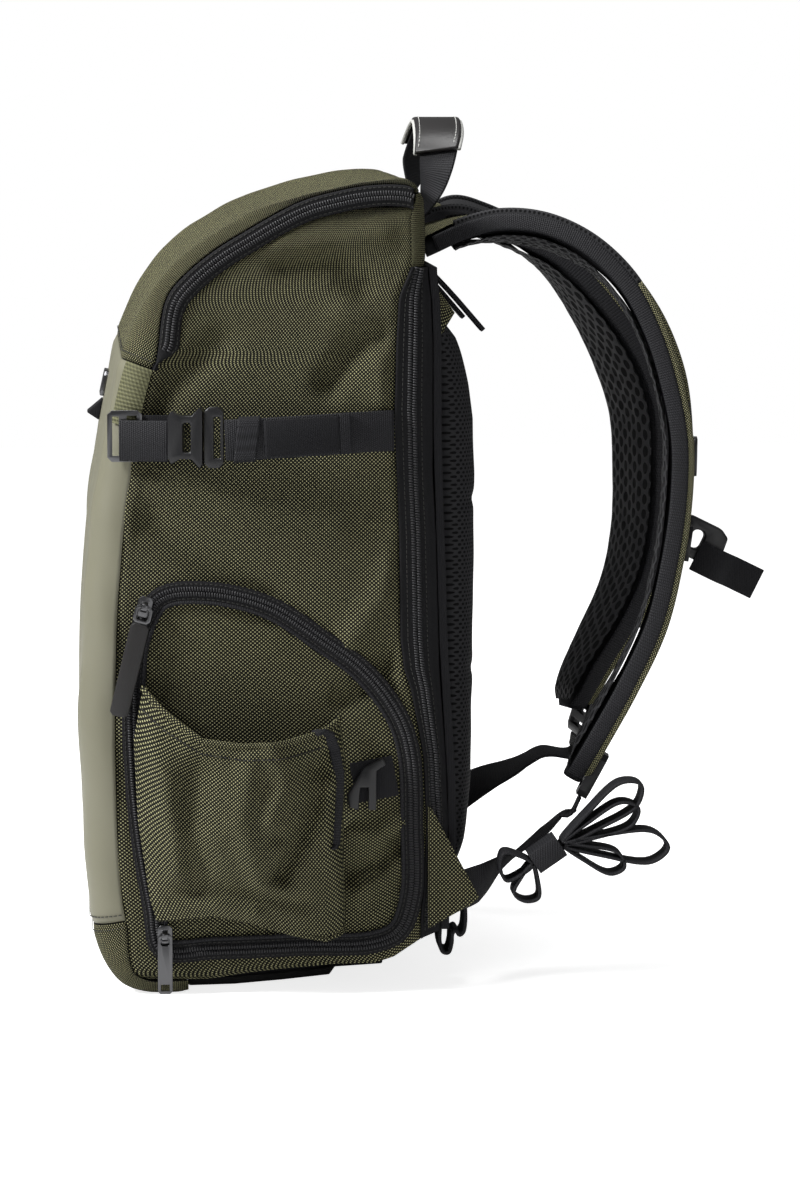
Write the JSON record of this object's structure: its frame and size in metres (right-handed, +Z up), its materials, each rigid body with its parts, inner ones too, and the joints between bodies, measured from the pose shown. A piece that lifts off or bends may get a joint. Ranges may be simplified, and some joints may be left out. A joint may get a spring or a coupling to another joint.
{
  "type": "camera backpack",
  "caption": "Upright padded camera backpack with a zipped side door, bulged side pocket, fastened side strap, padded shoulder straps and a top carrying handle",
  "frame": {"origin": "on the floor, in the middle of the base", "axes": "+Z up, -X the pack's front, +X the wearer's back, -Y the pack's right side with the pocket and the side strap"},
  "size_m": [0.4311, 0.3408, 0.5332],
  "materials": {
    "olive": "dull woven nylon, light olive on near-black",
    "coated": "smooth coated nylon, satin",
    "black": "dull woven nylon",
    "zip": "zip tape",
    "mesh": "open spacer mesh over foam",
    "web": "ribbed webbing",
    "rubber": "dull",
    "plastic": "fine satin",
    "metal": "dark plated",
    "leather": "fine grain"
  },
  "bodies": {
    "pack": {"boot": "olive", "front_panel": "coated", "top_cover": "olive", "yoke": "olive", "side_panel_right": "olive", "top_zip_right": "zip", "rear_band_right": "zip", "side_panel_left": "olive", "top_zip_left": "zip", "rear_band_left": "zip", "back_panel": "black", "back_pad_right": "mesh", "back_pad_left": "mesh", "base_pad": "rubber", "bottom_panel": "black", "door_zip": "zip", "pocket": "olive", "shoulder_pad_right": "mesh", "strap_rail_right": "web", "d_ring_right": "plastic", "chest_slider_right": "plastic", "ladder_lock_right": "plastic", "lower_web_right": "web", "wing_right": "olive", "lifter_right": "web", "rear_loop_right": "web", "shoulder_pad_left": "mesh", "strap_rail_left": "web", "d_ring_left": "plastic", "chest_slider_left": "plastic", "ladder_lock_left": "plastic", "lower_web_left": "web", "wing_left": "olive", "lifter_left": "web", "rear_loop_left": "web", "chest_socket": "plastic", "chest_web_right": "web", "chest_web_left": "web", "chest_plug": "plastic", "handle_web": "web", "handle_grip": "leather", "strap_ring": "metal", "strap_web": "web", "buckle_socket": "plastic", "buckle_plug": "plastic", "rear_web": "web", "strap_tail": "web", "strap_keeper": "black", "ring_loop": "web", "hook_buckle": "plastic", "hook_web": "web", "door_slider": "metal", "base_slider": "metal", "badge": "metal", "front_tab": "web", "web_bundle": "web", "bundle_keeper": "black"},
    "door_pull": {"pull_ring": "metal", "pull_tab": "leather"},
    "lower_pull": {"base_pull": "metal"}
  },
  "joints": [
    {"name": "door_pull_hinge", "type": "hinge", "parent": "pack", "child": "door_pull", "pos_m": [-0.08571, -0.15457, 0.24004], "axis": [-0.9713, 0, 0.2377], "range_deg": [0, 110]},
    {"name": "lower_pull_hinge", "type": "hinge", "parent": "pack", "child": "lower_pull", "pos_m": [-0.07443, -0.1536, 0.03785], "axis": [-1, 0, 0], "range_deg": [0, 110]}
  ]
}
